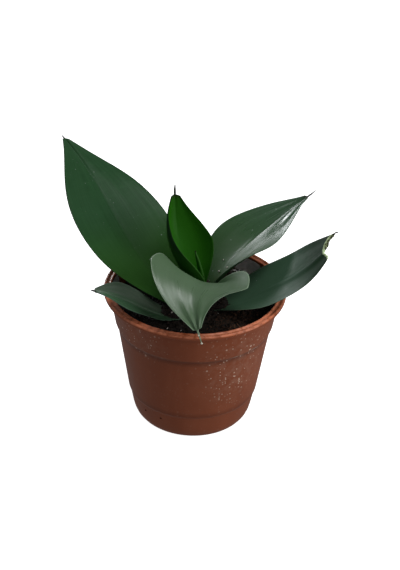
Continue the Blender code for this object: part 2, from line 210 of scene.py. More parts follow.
class LeafSettings(bpy.types.PropertyGroup):
    """Colours and finish of the leaves"""

    stations: count_setting("Steps along", "Steps along each leaf", 260, 40, 500)
    strips: count_setting("Steps across", "Steps across each face", 76, 12, 160)
    dullness: number_setting(
        "Dullness", "How dull the wax on the leaves is, against a fresh leaf", 1.0, 0.2, 2
    )
    colour: colour_setting(
        "Leaf colour", "Main green of the grown leaves", (0.021, 0.068, 0.025)
    )
    # Painted sheen: this pale green is partly the front leaf's own lighter back and partly light
    # it reflects, painted in.
    pale_and_lit_colour: colour_setting(
        "Pale leaf colour", "Green of the palest leaf", (0.076, 0.138, 0.067)
    )
    young_colour: colour_setting(
        "Young leaf colour", "Green of the newest leaves", (0.016, 0.118, 0.002)
    )
    margin_colour: colour_setting(
        "Margin colour", "Colour of the thin line along each margin", (0.16, 0.24, 0.16)
    )
    dry_colour: colour_setting(
        "Dry colour", "Colour of dried tips and torn edges", (0.020, 0.013, 0.008)
    )


class StageSettings(bpy.types.PropertyGroup):
    """Camera, light and floor"""

    elevation: number_setting(
        "Elevation", "How far the camera looks down", math.radians(32.087), 0, 1.5,
        subtype="ANGLE",
    )
    roll: number_setting(
        "Roll", "How far the camera leans", math.radians(-1.635), -0.5, 0.5, subtype="ANGLE"
    )
    distance: length_setting(
        "Distance", "From the camera to the middle of the pot's lip", 0.7567, 0.1, 5
    )
    lens: number_setting(
        "Lens", "Focal length for a 36 mm sensor", 72.63, 10, 300, unit="CAMERA"
    )
    light: number_setting("Light", "Strength of all the lights together", 1.0, 0, 10)
    floor: number_setting("Floor shade", "How pale the floor is", 0.9, 0, 1)


# ------------------------------------------------------------------ meshes


def add_mesh(name, points, faces, values=None, uv=None, smooth=True):
    """Mesh object from (n, 3) points and (m, k) corner numbers, with one float attribute for
    each entry of values and one UV pair per point."""
    points = np.ascontiguousarray(points, np.float32)
    faces = np.ascontiguousarray(faces, np.int32)
    mesh = bpy.data.meshes.new(name)
    mesh.vertices.add(len(points))
    mesh.vertices.foreach_set("co", points.ravel())
    mesh.loops.add(faces.size)
    mesh.loops.foreach_set("vertex_index", faces.ravel())
    mesh.polygons.add(len(faces))
    mesh.polygons.foreach_set(
        "loop_start", np.arange(0, faces.size, faces.shape[1], dtype=np.int32)
    )
    mesh.update(calc_edges=True)
    for key, value in (values or {}).items():
        attribute = mesh.attributes.new(key, "FLOAT", "POINT")
        attribute.data.foreach_set("value", np.ascontiguousarray(value, np.float32).ravel())
    if uv is not None:
        layer = mesh.uv_layers.new(name="UVMap")
        corners = np.ascontiguousarray(uv, np.float32)[faces.ravel()]
        layer.data.foreach_set("uv", corners.ravel())
    mesh.validate()
    if smooth:
        mesh.shade_smooth()
    obj = bpy.data.objects.new(name, mesh)
    bpy.context.scene.collection.objects.link(obj)
    return obj


def ring_faces(rows, columns):
    """Quads of a grid whose columns close on themselves: corner (i, j) joins (i, j + 1)."""
    i, j = np.meshgrid(np.arange(rows - 1), np.arange(columns), indexing="ij")
    right = (j + 1) % columns
    corners = [i * columns + j, i * columns + right, (i + 1) * columns + right,
               (i + 1) * columns + j]
    return np.stack(corners, axis=-1).reshape(-1, 4)


def close_row(first, columns, hub):
    """Faces between one closed row and the point at its middle. Each is a quad whose last two
    corners meet there, two row steps wide."""
    k = np.arange(0, columns, 2)
    return np.stack(
        [first + k, first + (k + 1) % columns, first + (k + 2) % columns, 0 * k + hub], axis=-1
    )


def add_closed(name, points, turn_round, values=None, uv=None, sew_last=False):
    """Closed mesh from rows of points, each a ring. A point in the middle of the first row and
    of the last closes the ends. With sew_last, the last row's lower points are replaced by the
    upper ones that they meet. turn_round reverses the faces."""
    rows, columns = points.shape[:2]
    last = (rows - 1) * columns
    flat = points.reshape(-1, 3)
    hubs = points[[0, -1]].mean(axis=1)
    faces = ring_faces(rows, columns)
    caps = [close_row(0, columns, len(flat))[:, ::-1]]
    if sew_last:
        k = faces - last
        faces = np.where(k > columns // 2, last + columns - k, faces)
        hubs = hubs[:1]
    else:
        caps.append(close_row(last, columns, len(flat) + 1))
    faces = np.concatenate([faces, *caps])
    values = {
        key: np.concatenate([value.ravel(), value[-1, :1].repeat(len(hubs))])
        for key, value in (values or {}).items()
    }
    if uv is not None:
        uv = np.concatenate([uv.reshape(-1, 2), np.zeros((len(hubs), 2))])
    flat = np.concatenate([flat, hubs])
    return add_mesh(name, flat, faces[:, ::-1] if turn_round else faces, values, uv)


def smoothstep(low, high, x):
    """0 below low, 1 above high, and 3t^2 - 2t^3 between them."""
    t = np.clip((x - low) / (high - low), 0, 1)
    return t * t * (3 - 2 * t)


def ripple(points, size, seed, waves=24):
    """Smooth unevenness from about -1 to 1: a sum of sine waves in random directions, each
    about size long. It is the same for the same seed."""
    rng = np.random.default_rng(seed)
    directions = rng.normal(size=(waves, points.shape[-1]))
    directions /= np.linalg.norm(directions, axis=1)[:, None]
    lengths = size * rng.uniform(0.6, 1.8, waves)
    phases = rng.uniform(0, 2 * np.pi, waves)
    angle = points @ (directions / lengths[:, None]).T * 2 * np.pi + phases
    return np.sin(angle).sum(axis=-1) / math.sqrt(waves / 2) / 1.6


def turned(profile, sides):
    """Points of a profile of (radius, height) turned about Z: row i is the profile's point i,
    at sides even angles."""
    profile = np.asarray(profile)
    turn = np.arange(sides) * 2 * np.pi / sides
    ring = np.stack([np.cos(turn), np.sin(turn)], axis=-1)
    across = profile[:, None, :1] * ring[None]
    up = np.broadcast_to(profile[:, None, 1:], (*across.shape[:2], 1))
    return np.concatenate([across, up], axis=-1)


def rounded(corners, steps=5):
    """Smooth profile through sharp corners of (radius, height, cut): each corner becomes the
    quadratic curve between the points a cut before and after it."""
    corners = np.asarray(corners, float)
    path = [corners[:1, :2]]
    t = np.linspace(0, 1, steps + 1)[:, None]
    for before, corner, after in zip(corners, corners[1:], corners[2:]):
        here = corner[:2]
        legs = []
        for other in (before[:2], after[:2]):
            length = np.linalg.norm(other - here)
            legs.append(here + (other - here) / length * min(corner[2], length * 0.48))
        if corner[2] == 0:
            path.append(here[None])
            continue
        path.append((1 - t) ** 2 * legs[0] + 2 * t * (1 - t) * here + t**2 * legs[1])
    path.append(corners[-1:, :2])
    return np.concatenate(path)


def spaced(profile, step):
    """The same profile with extra points, so that none lie further than step apart."""
    out = [profile[:1]]
    for a, b in zip(profile, profile[1:]):
        count = max(1, math.ceil(np.linalg.norm(b - a) / step))
        out.append(a + (b - a) * (np.arange(1, count + 1) / count)[:, None])
    return np.concatenate(out)


# ------------------------------------------------------------------ shader helper


class Finish:
    """A new material, and short ways to add nodes to it."""

    def __init__(self, name):
        self.material = bpy.data.materials.new(name)
        self.material.use_nodes = True
        self.tree = self.material.node_tree
        self.shader = self.tree.nodes["Principled BSDF"]
        coordinates = self.add("TexCoord").outputs
        self.place, self.uv = coordinates["Object"], coordinates["UV"]

    def add(self, kind, inputs=(), **settings):
        node = self.tree.nodes.new("ShaderNode" + kind)
        for key, value in settings.items():
            setattr(node, key, value)
        for key, value in dict(inputs).items():
            self.put(node.inputs[key], value)
        return node

    def put(self, socket, value):
        if isinstance(value, bpy.types.NodeSocket):
            self.tree.links.new(value, socket)
        elif socket.type == "RGBA" and len(value) == 3:
            socket.default_value = (*value, 1.0)
        else:
            socket.default_value = value

    def set(self, **inputs):
        """Set the shader's own sockets. An underscore in a name stands for a space."""
        for key, value in inputs.items():
            self.put(self.shader.inputs[key.replace("_", " ")], value)

    def math(self, operation, a, b=0.0, clamp=False):
        node = self.add("Math", {0: a, 1: b}, operation=operation, use_clamp=clamp)
        return node.outputs[0]

    def span(self, value, low, high, start=0.0, end=1.0):
        """value from low to high becomes start to end, smoothly, and stays there beyond."""
        node = self.add(
            "MapRange",
            {"Value": value, "From Min": low, "From Max": high, "To Min": start, "To Max": end},
            interpolation_type="SMOOTHSTEP",
        )
        return node.outputs["Result"]

    def times(self, a, b, clamp=False):
        return self.math("MULTIPLY", a, b, clamp)

    def plus(self, a, b, clamp=False):
        return self.math("ADD", a, b, clamp)

    def most(self, a, b):
        return self.math("MAXIMUM", a, b)

    def mix(self, share, a, b):
        node = self.add("Mix", data_type="RGBA")
        self.put(node.inputs["Factor"], share)
        self.put(node.inputs[6], a)
        self.put(node.inputs[7], b)
        return node.outputs[2]

    def moved(self, vector, scale=(1, 1, 1), location=(0, 0, 0), rotation=(0, 0, 0)):
        inputs = {"Vector": vector, "Scale": scale, "Location": location, "Rotation": rotation}
        return self.add("Mapping", inputs).outputs[0]

    def noise(self, vector, scale, detail=3.0, roughness=0.5, distortion=0.0):
        inputs = {
            "Vector": vector, "Scale": scale, "Detail": detail, "Roughness": roughness,
            "Distortion": distortion,
        }
        return self.add("TexNoise", inputs).outputs["Fac"]

    def spots(self, vector, scale, size, seed_shift=0.0):
        """Round specks of uneven size: 1 inside a speck. scale is cells to the metre and size
        is the largest speck's radius as a share of a cell."""
        shifted = self.moved(vector, location=(seed_shift, seed_shift * 0.7, -seed_shift))
        cells = self.add("TexVoronoi", {"Vector": shifted, "Scale": scale, "Randomness": 1.0})
        chance = self.add("SeparateColor", {0: cells.outputs["Color"]}).outputs[0]
        limit = self.math("MULTIPLY", self.math("POWER", chance, 1.8), size)
        gap = self.math("SUBTRACT", limit, cells.outputs["Distance"])
        return self.span(gap, 0.0, size * 0.35)

    def near(self, centre, inner, outer, stretch=(1, 1, 1)):
        """1 within inner of a place, and 0 beyond outer."""
        location = tuple(-c * s for c, s in zip(centre, stretch))
        moved = self.moved(self.place, scale=stretch, location=location)
        length = self.add("VectorMath", {0: moved}, operation="LENGTH").outputs["Value"]
        return self.span(length, outer, inner)

    def height(self):
        """Height above the ground."""
        return self.add("SeparateXYZ", {0: self.place}).outputs[2]

    def feed(self, name):
        """What now feeds the shader's socket of that name."""
        return self.shader.inputs[name].links[0].from_socket

    def value(self, name):
        """The surface's own attribute of that name."""
        return self.add("Attribute", attribute_name=name).outputs["Fac"]

    def bump(self, height, distance, strength=1.0, under=None):
        inputs = {"Height": height, "Distance": distance, "Strength": strength}
        if under is not None:
            inputs["Normal"] = under
        return self.add("Bump", inputs).outputs["Normal"]


def scaled(colour, share):
    """The colour, darker or lighter by a share."""
    return tuple(c * share for c in colour)


def give(obj, material):
    """Make material the only one on obj."""
    obj.data.materials.clear()
    obj.data.materials.append(material)


def finish_piece(obj, slot, *nodes):
    """Let the piece ride on the plant and stand for CAD nodes. slot is not used."""
    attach(obj, "root")
    if nodes:
        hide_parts(*nodes)


# ------------------------------------------------------------------ leaves


def blend(values, u):
    """Bernstein polynomial: a smooth curve through control values, u from 0 to 1."""
    last = len(values) - 1
    return sum(math.comb(last, i) * u**i * (1 - u) ** (last - i) * v for i, v in enumerate(values))


def half_width(leaf, u):
    """Half the blade's width. It grows from the foot as a parabola, shrinks beyond the widest
    place as (1 - t^taper)^point, and opens from the spine as a square root and a line."""
    widest = leaf["widest"]
    rising = 1 - (1 - leaf["foot_share"]) * np.clip(1 - u / widest, 0, 1) ** 2
    beyond = np.clip((u - widest) / (1 - widest), 0, 1)
    falling = np.clip(1 - beyond ** leaf["taper"], 0, 1) ** leaf["point"]
    blade = leaf["half_width"] * MM * rising * falling
    from_tip = (1 - u) * leaf["length"] * MM
    beyond_spine = np.clip(from_tip - leaf["spine"] * MM, 0, None)
    opening = SHOULDER_SPREAD * np.sqrt(beyond_spine) + SHOULDER_SLOPE * beyond_spine
    needle = SPINE_RADIUS * np.clip(0.3 + from_tip / (leaf["spine"] * MM), 0, 1)
    return np.maximum(np.minimum(blade, needle + opening), needle * 0.9)


def midrib(leaf, u, foot_level, lip_line):
    """(points, left, up) along the midrib: the direction is given by heading and rise, and the
    points are its running sum."""
    heading = np.radians(blend(leaf["heading"], u))
    rise = np.radians(blend(leaf["rise"], u) + (lip_line if leaf.get("low") else 0))
    roll = np.radians(blend(leaf["roll"], u))[:, None]
    along = np.stack(
        [np.cos(rise) * np.cos(heading), np.cos(rise) * np.sin(heading), np.sin(rise)], axis=1
    )
    level = np.stack([-np.sin(heading), np.cos(heading), 0 * heading], axis=1)
    above = np.cross(along, level)
    step = np.diff(u)[:, None] * leaf["length"] * MM
    points = np.zeros((len(u), 3))
    points[1:] = np.cumsum((along[1:] + along[:-1]) / 2 * step, axis=0)
    points += (leaf["foot"][0] * MM, leaf["foot"][1] * MM, foot_level)
    left = level * np.cos(roll) + above * np.sin(roll)
    up = above * np.cos(roll) - level * np.sin(roll)
    return points, left, up


def blade_point(leaf, u, v, depth):
    """Points of the blade at shares u of its length and v of its half width, on arcs across
    the midrib, and depth below the upper face along the arc's normal."""
    pot_top = POT_BOX[1].z
    foot_level = SOIL_BOX[1].z - MOUND - FOOT_DEPTH
    mouth = bpy.context.scene.plant_pot.lip_radius - bpy.context.scene.plant_pot.lip_width
    lip_line = math.degrees(math.atan2(pot_top - foot_level, mouth - CROWN_RADIUS))
    fine = np.linspace(0, 1, 481)
    parts = midrib(leaf, fine, foot_level, lip_line)
    centre, left, up = (
        np.stack([np.interp(u, fine, part[:, k]) for k in range(3)], axis=-1) for part in parts
    )
    fold = np.radians(blend(leaf["fold"], u))
    cup = np.where(v >= 0, blend(leaf["cup_left"], u), blend(leaf["cup_right"], u))
    cup = np.radians(np.where(np.abs(cup) < 0.05, 0.05, cup))
    angle = fold + cup * np.abs(v)
    width = half_width(leaf, u)
    across = width * (np.sin(angle) - np.sin(fold)) / cup + depth * np.sin(angle)
    lift = width * (np.cos(fold) - np.cos(angle)) / cup - depth * np.cos(angle)
    return centre + left * (np.sign(v) * across)[..., None] + up * lift[..., None]


def relief(name, leaf, u, v):
    """How far the face sinks below the smooth blade: creases, folds, channels and pleats."""
    width = half_width(leaf, u)
    across = v * width
    channels = 0.10 * MM * np.sin(v * 9.5 + 1.3) * smoothstep(0.1, 0.4, u)
    margin = 0.35 * MM * v**4 * np.sin(u * 17 + v * 1.7 + len(name)) * smoothstep(0.15, 0.4, u)
    sunk = channels + margin
    crease = np.exp(-((across / (0.7 * MM)) ** 2))
    if name == "leaf_left_tall":
        sunk += 0.65 * MM * crease * smoothstep(0.62, 0.8, u) * smoothstep(0.995, 0.95, u)
        sunk += 0.18 * MM * crease
    elif name == "leaf_front":
        fan = np.sin(v * 8.5 + 0.5) * smoothstep(0.66, 0.88, u) * smoothstep(0.97, 0.90, u)
        sunk += 0.42 * MM * fan * np.exp(-(v**2) * 0.8)
    elif name == "leaf_right_back":
        line = (v + 0.10) * width
        sunk += 0.55 * MM * np.exp(-((line / (1.0 * MM)) ** 2)) * smoothstep(0.2, 0.5, u)
        sunk += 0.22 * MM * np.sin(v * 15) * smoothstep(0.55, 0.8, u) * smoothstep(0.99, 0.9, u)
    elif name == "leaf_right_front":
        ridge = v + 0.10 + 0.55 * (u - 0.40)
        sunk -= 0.9 * MM * np.exp(-((ridge * width / (2.6 * MM)) ** 2)) * smoothstep(0.25, 0.5, u)
    elif name == "leaf_left_low":
        sunk += 0.45 * MM * crease * smoothstep(0.15, 0.35, u)
        sunk += 0.15 * MM * np.sin(v * 14) * smoothstep(0.1, 0.3, u)
    elif name == "leaf_centre_young":
        sunk += 0.12 * MM * crease
    return sunk * np.clip(width / (3 * MM), 0, 1)


def leaf_surface(name, leaf):
    """Closed leaf. Each row is a loop round the blade: over the upper face from the right
    margin to the left, and back under. The half thickness falls as sqrt(1 - v^10), which
    rounds the margins, and rows crowd towards the tip."""
    settings = bpy.context.scene.plant_leaves
    strips = settings.strips
    share = np.linspace(0, 1, settings.stations + 1)
    share = share + 0.12 * np.sin(np.pi * share) * share
    share = (share - share[0]) / (share[-1] - share[0])
    turn = np.linspace(0, np.pi, strips + 1)
    v_upper = -np.cos(turn) * 0.35 - 0.65 * (1 - 2 * turn / np.pi)
    v_loop = np.concatenate([v_upper, v_upper[-2:0:-1]])
    lower = np.zeros(len(v_loop), bool)
    lower[strips + 1:] = True
    end = np.ones_like(v_loop)
    green = np.full_like(v_loop, 2.0)
    if name == TORN_LEAF:
        jag = ripple(v_loop[:, None], 0.16, 5, 16) * 0.0035
        end = np.interp(v_loop, *zip(*FLAP_END)) + jag
        green = np.interp(v_loop, *zip(*GREEN_END)) + jag * 0.8
    u, v = np.broadcast_arrays(share[:, None] * end[None, :], v_loop[None, :])
    width = half_width(leaf, u)
    torn = (u - green[None, :]) * leaf["length"] * MM
    dry = smoothstep(-0.2 * MM, 1.0 * MM, torn)
    thickness = leaf["thickness"] * MM * (1 - u) + TIP_THICKNESS * u
    thickness = thickness * (1 - (1 - MARGIN_SHARE) * v**2) * (1 - 0.6 * dry)
    thickness = np.minimum(thickness, 2 * width)
    half = thickness / 2 * np.sqrt(np.clip(1 - v**10, 0, 1))
    at_end = np.sqrt(np.clip(1 - ((share - 0.994) / 0.006).clip(0, 1) ** 2, 0, 1))[:, None]
    half = half * at_end
    depth = thickness / 2 + np.where(lower[None, :], half, -half) + relief(name, leaf, u, v)
    if name == TORN_LEAF:
        crumple = ripple(np.stack([v * 14, u * 105], axis=-1), 5.0, 9, 20)
        depth = depth + dry * 0.5 * MM * crumple
    points = blade_point(leaf, u, v, depth)
    length = leaf["length"] * MM
    values = {
        "vein": v, "along": u * length, "tip": (1 - u) * length,
        "edge": (1 - np.abs(v)) * width, "torn": np.clip(torn, -0.02, 0.02),
        "under": np.broadcast_to(lower.astype(float)[None, :], u.shape),
    }
    uv = np.stack([v * leaf["half_width"] * MM, u * length], axis=-1)
    return add_closed(name + "_blade", points, True, values, uv, name == TORN_LEAF)


def leaf_finish(
    name, colour, foot_colour, margin, settings, speckle, gloss, shine, under, dry_tip
):
    """Waxy leaf: fine lengthwise veins, faint cross bands, a thin margin line, a dry tip, and
    dried water specks, with the underside mixed towards a darker colour as painted shade. Patterns
    follow the blade through its own UV map and attributes."""
    skin = Finish(name)
    veins = skin.noise(skin.moved(skin.uv, scale=(900, 22, 1)), 1.0, 3.0, 0.6)
    broad = skin.noise(skin.moved(skin.uv, scale=(230, 9, 1)), 1.0, 2.0, 0.5)
    bands = skin.noise(skin.moved(skin.uv, scale=(38, 190, 1)), 1.0, 3.0, 0.6, 0.6)
    cloud = skin.noise(skin.place, 38.0, 2.0, 0.5)
    along = skin.value("along")
    lighter = tuple(min(1.0, c * 1.15 + 0.001) for c in colour)
    darker = scaled(colour, 0.84)
    tone = skin.mix(skin.span(veins, 0.30, 0.72), darker, lighter)
    tone = skin.mix(skin.span(broad, 0.35, 0.70, 0.0, 0.55), tone, colour)
    tone = skin.mix(skin.span(bands, 0.46, 0.66, 0.0, 0.40), tone, lighter)
    tone = skin.mix(skin.span(cloud, 0.40, 0.70, 0.0, 0.35), tone, darker)
    foot_share = skin.span(along, 0.085, 0.030, 0.0, 0.92)
    tone = skin.mix(foot_share, tone, foot_colour)
    # Painted shade: the underside turns towards its darker colour.
    tone = skin.mix(skin.times(skin.value("under"), 0.6), tone, under)
    edge = skin.value("edge")
    line = skin.span(edge, 0.0008, 0.0002, 0.0, 0.85)
    tone = skin.mix(line, tone, margin)
    tip = skin.span(skin.value("tip"), dry_tip, dry_tip * 0.5)
    tone = skin.mix(tip, tone, settings.dry_colour)
    specks = skin.spots(skin.place, 420.0, 0.26, 3.1)
    splashed = skin.span(skin.noise(skin.place, 55.0, 1.0), 0.50, 0.68, 0.0, speckle)
    specks = skin.times(specks, splashed)
    tone = skin.mix(specks, tone, (0.30, 0.36, 0.32))
    rough = skin.span(broad, 0.3, 0.7, gloss - 0.05, gloss + 0.08)
    rough = skin.plus(rough, skin.span(along, 0.060, 0.036, 0.0, 0.22))
    rough = skin.plus(rough, skin.times(specks, 0.3))
    grain = skin.noise(skin.place, 2600.0, 2.0, 0.6)
    normal = skin.bump(veins, 0.00005, 0.7)
    normal = skin.bump(broad, 0.00012, 0.6, normal)
    normal = skin.bump(bands, 0.00010, 0.5, normal)
    normal = skin.bump(grain, 0.00002, 0.4, normal)
    skin.set(
        Base_Color=tone, Roughness=rough, Normal=normal, IOR=1.45, Specular_IOR_Level=shine,
    )
    return skin


def torn_end(skin, settings):
    """Add the torn end: a pale band where the green stops, then dark dried tissue with paler
    mottles."""
    mottle = skin.noise(skin.place, 900.0, 3.0, 0.6)
    dried = skin.mix(skin.span(mottle, 0.45, 0.62), settings.dry_colour, (0.42, 0.50, 0.24))
    jitter = skin.times(skin.math("SUBTRACT", mottle, 0.5), 0.0016)
    ragged = skin.plus(skin.value("torn"), jitter)
    pale = skin.span(ragged, -0.0014, -0.0007)
    tone = skin.mix(pale, skin.feed("Base Color"), (0.60, 0.74, 0.42))
    tone = skin.mix(skin.span(ragged, 0.0006, 0.0014), tone, dried)
    dull = skin.mix(skin.span(ragged, -0.0005, 0.0008), skin.feed("Roughness"), (0.75,) * 3)
    skin.set(Base_Color=tone, Roughness=dull)


def shade(skin, share, colour):
    """Mix colour over the leaf by share."""
    skin.set(Base_Color=skin.mix(share, skin.feed("Base Color"), colour))


def grey_sheen_band(skin):
    """Add a painted grey sheen on the half towards the middle of the plant, and a pale line along
    the crease."""
    side = skin.value("vein")
    sheen_streaks = skin.noise(skin.moved(skin.uv, scale=(500, 30, 1)), 1.0, 3.0, 0.6)
    # Painted sheen: a grey band over that half, broken into streaks.
    share = skin.times(skin.span(side, 0.05, -0.30), skin.span(sheen_streaks, 0.2, 0.6, 0.2, 0.7))
    shade(skin, share, (0.072, 0.090, 0.068))
    crease = skin.span(skin.math("ABSOLUTE", side), 0.10, 0.02, 0.0, 0.5)
    shade(skin, crease, (0.12, 0.16, 0.12))


def bead(name, centre, radii, steps=16):
    """Ellipsoid: a half circle turned about Z, times the radii."""
    polar = np.linspace(0.001, np.pi - 0.001, steps)
    ball = turned(np.stack([np.sin(polar), np.cos(polar)], axis=-1), steps * 2)
    return add_closed(name, ball * radii + centre, True)


class PLANT_OT_leaves(bpy.types.Operator):
    """Make the leaves, with their veins, margins, creases and dried tips"""

    bl_idname = "plant.leaves"
    bl_label = "Leaves"

    def execute(self, context):
        s = context.scene.plant_leaves
        green, pale, young, margin = s.colour, s.pale_and_lit_colour, s.young_colour, s.margin_colour
        dark = scaled(green, 0.4)
        foot = (0.022, 0.084, 0.010)
        # Colour, colour at the foot, margin line, specks, roughness, specular level, underside and
        # length of the dry tip. The underside colour is darker than the top, as painted shade.
        finishes = {
            "leaf_left_tall": (green, foot, dark, 0.8, 0.33, 0.08, dark, 0.0050),
            "leaf_centre_young": (young, young, (0.05, 0.16, 0.03), 0.0, 0.45, 0.14,
                                  (0.008, 0.034, 0.004), 0.0110),
            "leaf_centre_spear": ((0.03, 0.15, 0.02), young, (0.05, 0.15, 0.03), 0.0, 0.4, 0.2,
                                  young, 0.0010),
            "leaf_right_back": ((0.040, 0.098, 0.046), (0.022, 0.080, 0.014), margin, 0.8, 0.23,
                                0.55, dark, 0.0120),
            "leaf_right_front": ((0.066, 0.134, 0.082), (0.046, 0.100, 0.056), margin, 0.5, 0.34,
                                 0.12, dark, 0.0010),
            # The front leaf's pale colour is partly a painted sheen.
            "leaf_front": (pale, pale, (0.27, 0.38, 0.25), 0.5, 0.30, 0.55, green, 0.0005),
            "leaf_left_low": ((0.048, 0.125, 0.056), green, (0.07, 0.14, 0.09), 0.6, 0.30, 0.5,
                              dark, 0.0040),
        }
        for name, leaf in LEAVES.items():
            piece = leaf_surface(name, leaf)
            colour, foot_colour, edge, speckle, gloss, shine, under, dry_tip = finishes[name]
            skin = leaf_finish(
                name + "_skin", colour, foot_colour, edge, s, speckle, gloss * s.dullness, shine,
                under, dry_tip,
            )
            if name == TORN_LEAF:
                # Painted shade: the torn leaf turns dark from 52 mm before its tip, mostly by 22
                # mm.
                shade(skin, skin.span(skin.value("tip"), 0.052, 0.022, 0.0, 0.85), dark)
                torn_end(skin, s)
            elif name == "leaf_left_low":
                # Painted sheen: a grey band on the half towards the middle of the plant.
                grey_sheen_band(skin)
            elif name == "leaf_centre_young":
                # Painted shade: the outer part of the rolled left half, from 30 mm along, is
                # darkened.
                rolled = skin.span(skin.value("vein"), 0.74, 0.84)
                above = skin.span(skin.value("along"), 0.030, 0.045)
                shade(skin, skin.times(rolled, above), (0.006, 0.030, 0.006))
            give(piece, skin.material)
            finish_piece(piece, "young_leaf" if "centre" in name else "leaf", name)
        self.beads()
        return {"FINISHED"}

    def beads(self):
        """A pale dried bead on the front leaf's tip, and a small one on its margin."""
        leaf = LEAVES["leaf_front"]
        u, v = np.array([1.0, 0.945]), np.array([0.0, -0.9])
        places = blade_point(leaf, u, v, np.zeros(2))
        wax = Finish("dried_bead")
        tone = wax.mix(wax.noise(wax.place, 900.0), (0.55, 0.50, 0.38), (0.75, 0.72, 0.62))
        wax.set(Base_Color=tone, Roughness=0.3, Coat_Weight=0.4)
        for k, radius in enumerate((0.75 * MM, 0.6 * MM)):
            piece = bead(f"leaf_bead_{k}", places[k], np.array([1.0, 1.0, 0.85]) * radius)
            give(piece, wax.material)
            finish_piece(piece, "leaf")


# ------------------------------------------------------------------ pot


# Steps of the pot's outside, in millimetres
BAND_DEPTH = 23.5
BAND_TAPER = 3.2
BAND_STEP = 1.4
BODY_TAPER = 7.2
FOOT_HEIGHT = 21.5
FOOT_STEP = 0.9
FOOT_TAPER = 3.2
CORNER_CUT = 8.5
POLE_RADIUS = 0.0005

# Holes through the pot, in millimetres
PINHOLE_HEIGHT = 14.4
PINHOLE_RADIUS = 0.8
PINHOLE_INSET = 0.8
DRAIN_RADIUS = 3.5
DRAIN_INSET = 10.5
CUTTER_REACH = 3.2


def pot_profile(settings):
    """Sharp corners of the pot as (radius, height, cut), from the underside's middle up the
    outside, over the lip and down the inside. The cut rounds each corner."""
    top, lip, wall = settings.height / MM, settings.lip_radius / MM, settings.wall / MM
    mouth = lip - settings.lip_width / MM
    band_top = mouth + wall
    band_low = band_top - BAND_TAPER
    body_top = band_low - BAND_STEP
    body_low = body_top - BODY_TAPER
    foot_top = body_low - FOOT_STEP
    foot_low = foot_top - FOOT_TAPER
    shoulder = top - BAND_DEPTH
    foot = FOOT_HEIGHT
    outside = [
        (POLE_RADIUS, 0, 0),
        (foot_low - 9.7, 0, 0),
        (foot_low - 0.2, 0, CORNER_CUT),
        (foot_top, foot - 2.0, 0.7),
        (body_low, foot - 0.5, 0.7),
        (body_top, shoulder - 2.2, 0.7),
        (band_low, shoulder, 0.7),
        (band_top, top - 4.2, 0.8),
        (lip - 1.0, top - 2.9, 0.6),
        (lip, top - 2.3, 0.5),
        (lip - 0.1, top - 0.6, 0.5),
        (lip - 0.9, top, 0.45),
        (lip - 1.9, top - 0.1, 0.35),
        (lip - 2.5, top - 0.65, 0.3),
        (mouth + 1.9, top - 0.6, 0.3),
        (mouth + 1.2, top - 0.15, 0.3),
        (mouth + 0.2, top - 0.2, 0.4),
        (mouth, top - 2.4, 1.0),
    ]
    inside = [
        (mouth - 0.02, top - 4.2, 0),
        (band_low - wall, shoulder, 1.0),
        (body_top - wall, shoulder - 2.6, 1.0),
        (body_low - wall, foot - 0.6, 0.9),
        (foot_top - wall, foot - 2.4, 1.0),
        (foot_low - wall, wall, 7.2),
        (POLE_RADIUS, wall, 0),
    ]
    return np.array(outside + inside) * MM


def drain_cutter(settings):
    """One mesh of closed prisms: pinholes lying on rays round the foot, and drain holes
    through the floor."""
    steps = BAND_TAPER + BAND_STEP + BODY_TAPER + FOOT_STEP
    foot_top = settings.lip_radius - settings.lip_width + settings.wall - steps * MM
    foot = foot_top - PINHOLE_INSET * MM
    ring = foot_top - (FOOT_TAPER + CORNER_CUT + DRAIN_INSET) * MM
    up, ahead = np.array([0, 0, 1.0]), np.array([1.0, 0, 0])
    prisms = []
    for k in range(6):
        turn = 2 * math.pi * (k // 2) / 3 + math.radians(18 * (k % 2) - 17)
        out = np.array([math.cos(turn), math.sin(turn), 0])
        middle = out * foot + up * PINHOLE_HEIGHT * MM
        prisms.append((middle, out, np.cross(up, out), PINHOLE_RADIUS * MM, 12))
    for k in range(6):
        turn = 2 * math.pi * k / 6
        middle = np.array([math.cos(turn) * ring, math.sin(turn) * ring, 0])
        prisms.append((middle, up, ahead, DRAIN_RADIUS * MM, 40))
    points, faces, count = [], [], 0
    for middle, axis, side, radius, sides in prisms:
        turn = np.arange(sides) * 2 * np.pi / sides
        other = np.cross(axis, side)
        ring_points = radius * (np.cos(turn)[:, None] * side + np.sin(turn)[:, None] * other)
        reach = axis * CUTTER_REACH * MM
        points += [middle - reach + ring_points, middle + reach + ring_points]
        low = list(range(count, count + sides))
        high = [k + sides for k in low]
        faces += [low[::-1], high]
        faces += [[low[i], low[(i + 1) % sides], high[(i + 1) % sides], high[i]]
                  for i in range(sides)]
        count += 2 * sides
    mesh = bpy.data.meshes.new("drain_cutter")
    mesh.from_pydata(np.concatenate(points).tolist(), [], faces)
    cutter = bpy.data.objects.new("drain_cutter", mesh)
    bpy.context.scene.collection.objects.link(cutter)
    return cutter


